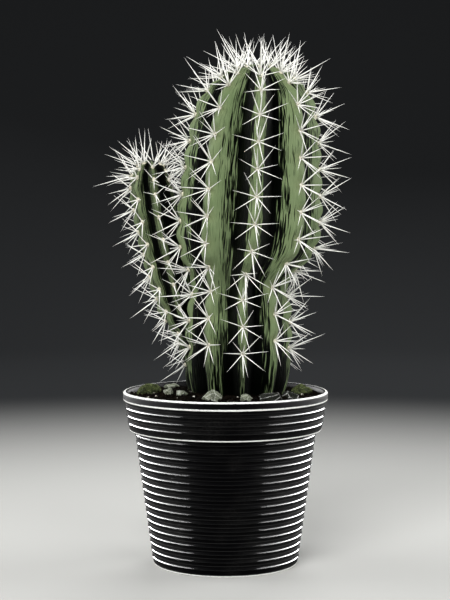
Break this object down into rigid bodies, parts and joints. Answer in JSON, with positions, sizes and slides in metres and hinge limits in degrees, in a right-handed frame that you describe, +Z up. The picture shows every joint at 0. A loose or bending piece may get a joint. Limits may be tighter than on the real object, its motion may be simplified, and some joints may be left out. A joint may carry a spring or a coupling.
{
  "type": "potted columnar cactus",
  "caption": "Ribbed columnar cactus with a slimmer side stem, white spine clusters along the ribs and loose stones on the soil, in a tapered round pot with a banded rim.",
  "frame": {"origin": "centre of the pot's flat foot, on the surface the pot stands on", "axes": "+Z up out of the pot; -Y towards the front, from which the side stem is on the left; +X to the right from there"},
  "size_m": [0.1574, 0.1258, 0.32],
  "materials": {
    "pot_plastic": "black moulded plastic with a soft gloss and fine turned ridges",
    "soil": "dark, gritty, crumbly potting mix",
    "root": "dry, fibrous root bark",
    "cactus_skin": "waxy grey-green skin, darker in the grooves",
    "spine": "stiff ivory-white spines on felted pads",
    "pale_stone": "rough, angular, pale grey-green stone",
    "mossy_stone": "rough dark stone with a film of moss"
  },
  "bodies": {
    "root": {"pot": "pot_plastic", "potting_soil": "soil", "roots": "root", "main_stem": "cactus_skin", "side_stem": "cactus_skin", "stone_01": "mossy_stone", "stone_02": "pale_stone", "stone_03": "pale_stone", "stone_04": "pale_stone", "stone_05": "pale_stone", "stone_06": "pale_stone", "stone_07": "pale_stone", "stone_08": "mossy_stone", "stone_09": "pale_stone", "stone_10": "mossy_stone", "stone_11": "pale_stone", "main_spines_1": "spine", "main_spines_2": "spine", "main_spines_3": "spine", "main_spines_4": "spine", "main_spines_5": "spine", "main_spines_6": "spine", "main_spines_7": "spine", "main_spines_8": "spine", "main_spines_9": "spine", "side_spines_1": "spine", "side_spines_2": "spine", "side_spines_3": "spine", "side_spines_4": "spine", "side_spines_5": "spine", "side_spines_6": "spine", "side_spines_7": "spine"}
  },
  "joints": []
}
